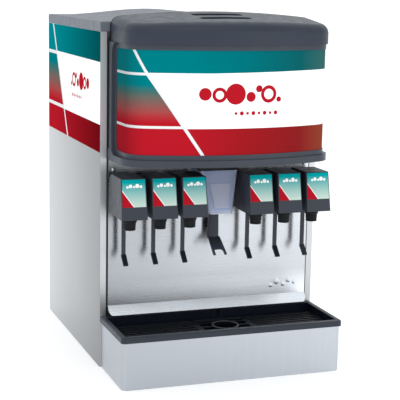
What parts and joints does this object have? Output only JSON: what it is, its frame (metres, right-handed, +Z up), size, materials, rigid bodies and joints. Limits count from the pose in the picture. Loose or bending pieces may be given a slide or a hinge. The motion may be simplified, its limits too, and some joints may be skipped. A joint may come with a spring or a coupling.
{
  "type": "countertop ice and soda fountain dispenser",
  "caption": "Countertop fountain dispenser: stainless ice cabinet with a bow-fronted lit sign, push-lever soda valves, a central ice chute and a drip tray with lift-out cup rests.",
  "frame": {"origin": "bottom centre of the whole object, on the counter", "axes": "+Z up, -Y towards the user (valves and drip tray), +X to the user's right"},
  "size_m": [0.559, 0.7524, 0.862],
  "materials": {
    "stainless": "vertical brushed stainless sheet",
    "rear_steel": "plain stainless sheet",
    "galvanised": "spangled zinc coat",
    "black_plate": "black powder coat",
    "slate_plastic": "fine moulded texture",
    "lid_plastic": "fine moulded texture",
    "sign_graphic": "printed translucent sheet",
    "white_paint": "white enamel",
    "lamp_glass": "frosted tube",
    "white_plastic": "moulded",
    "foam": "poured foam",
    "cast_plate": "sand cast",
    "collar_plastic": "moulded",
    "seal_rubber": "closed-cell foam strip",
    "screw_steel": "bright",
    "tray_plastic": "moulded",
    "rest_plastic": "moulded",
    "pipe_plastic": "extruded pipe",
    "motor_paint": "black enamel",
    "black_plastic": "moulded",
    "clear_plastic": "clear moulding",
    "cover_plastic": "fine moulded texture",
    "label_print": "printed card",
    "lever_plastic": "moulded"
  },
  "bodies": {
    "cabinet": {"agitator_motor": "motor_paint", "base_pan": "galvanised", "cold_plate": "cast_plate", "control_box": "black_plate", "drain_pipe": "pipe_plastic", "drip_tray": "tray_plastic", "foam_insulation": "foam", "front_frame": "black_plate", "gate_solenoid": "black_plastic", "hood": "slate_plastic", "ice_bin": "white_plastic", "ice_chute": "clear_plastic", "ice_lever_bracket": "screw_steel", "ice_throat": "black_plastic", "inlet_fittings": "screw_steel", "inlet_plate": "galvanised", "lamp_holders": "white_plastic", "lamp_tube": "lamp_glass", "left_side_panel": "stainless", "lever_pins": "screw_steel", "lever_switches": "black_plastic", "mounting_blocks": "black_plastic", "nozzles": "black_plastic", "panel_screws": "screw_steel", "product_lines": "screw_steel", "rear_panel": "rear_steel", "right_side_panel": "stainless", "shaft_bearing": "white_plastic", "sign_frame": "slate_plastic", "sign_panel": "sign_graphic", "sign_reflector": "white_paint", "splash_panel": "stainless", "tank_supports": "galvanised", "top_collar": "collar_plastic", "tray_housing": "stainless", "valve_bodies": "black_plastic", "valve_cover_1": "cover_plastic", "valve_cover_2": "cover_plastic", "valve_cover_3": "cover_plastic", "valve_cover_4": "cover_plastic", "valve_cover_5": "cover_plastic", "valve_cover_6": "cover_plastic", "valve_labels": "label_print", "valve_solenoids": "black_plastic"},
    "lid": {"bin_lid": "lid_plastic", "lid_gasket": "seal_rubber"},
    "cup_rest_left": {"cup_rest_left": "rest_plastic"},
    "cup_rest_right": {"cup_rest_right": "rest_plastic"},
    "cup_rest_centre": {"cup_rest_centre": "rest_plastic"},
    "gate": {"ice_gate": "screw_steel", "gate_plunger": "screw_steel"},
    "ice_lever": {"ice_lever": "lever_plastic"},
    "agitator": {"agitator_shaft": "screw_steel", "paddle_wheel": "white_plastic"},
    "lever_1": {"valve_lever_1": "lever_plastic"},
    "lever_2": {"valve_lever_2": "lever_plastic"},
    "lever_3": {"valve_lever_3": "lever_plastic"},
    "lever_4": {"valve_lever_4": "lever_plastic"},
    "lever_5": {"valve_lever_5": "lever_plastic"},
    "lever_6": {"valve_lever_6": "lever_plastic"}
  },
  "joints": [
    {"name": "lid_lift", "type": "slide", "parent": "cabinet", "child": "lid", "axis": [0, 0, 1], "range_m": [0, 0.1]},
    {"name": "cup_rest_left_lift", "type": "slide", "parent": "cabinet", "child": "cup_rest_left", "axis": [0, 0, 1], "range_m": [0, 0.06]},
    {"name": "cup_rest_right_lift", "type": "slide", "parent": "cabinet", "child": "cup_rest_right", "axis": [0, 0, 1], "range_m": [0, 0.06]},
    {"name": "cup_rest_centre_lift", "type": "slide", "parent": "cabinet", "child": "cup_rest_centre", "axis": [0, 0, 1], "range_m": [0, 0.06]},
    {"name": "lever_1_push", "type": "hinge", "parent": "cabinet", "child": "lever_1", "pos_m": [-0.232, -0.2222, 0.393], "axis": [1, 0, 0], "range_deg": [0, 12], "stiffness_Nm_per_rad": 0.8, "springref_deg": -5.73},
    {"name": "lever_2_push", "type": "hinge", "parent": "cabinet", "child": "lever_2", "pos_m": [-0.158, -0.2222, 0.393], "axis": [1, 0, 0], "range_deg": [0, 12], "stiffness_Nm_per_rad": 0.8, "springref_deg": -5.73},
    {"name": "lever_3_push", "type": "hinge", "parent": "cabinet", "child": "lever_3", "pos_m": [-0.084, -0.2222, 0.393], "axis": [1, 0, 0], "range_deg": [0, 12], "stiffness_Nm_per_rad": 0.8, "springref_deg": -5.73},
    {"name": "lever_4_push", "type": "hinge", "parent": "cabinet", "child": "lever_4", "pos_m": [0.084, -0.2222, 0.393], "axis": [1, 0, 0], "range_deg": [0, 12], "stiffness_Nm_per_rad": 0.8, "springref_deg": -5.73},
    {"name": "lever_5_push", "type": "hinge", "parent": "cabinet", "child": "lever_5", "pos_m": [0.158, -0.2222, 0.393], "axis": [1, 0, 0], "range_deg": [0, 12], "stiffness_Nm_per_rad": 0.8, "springref_deg": -5.73},
    {"name": "lever_6_push", "type": "hinge", "parent": "cabinet", "child": "lever_6", "pos_m": [0.232, -0.2222, 0.393], "axis": [1, 0, 0], "range_deg": [0, 12], "stiffness_Nm_per_rad": 0.8, "springref_deg": -5.73},
    {"name": "gate_slide", "type": "slide", "parent": "cabinet", "child": "gate", "axis": [0, 0, 1], "range_m": [0, 0.045]},
    {"name": "ice_lever_push", "type": "hinge", "parent": "cabinet", "child": "ice_lever", "pos_m": [0, -0.2022, 0.399], "axis": [1, 0, 0], "range_deg": [0, 8], "stiffness_Nm_per_rad": 1.2, "springref_deg": -5.73},
    {"name": "agitator_turn", "type": "hinge", "parent": "cabinet", "child": "agitator", "pos_m": [0, -0.0622, 0.43], "axis": [0, 1, 0], "continuous": true}
  ],
  "couplings": [
    {"joint": "ice_lever_push", "follows": "gate_slide", "rad_per_m": 3.1}
  ]
}
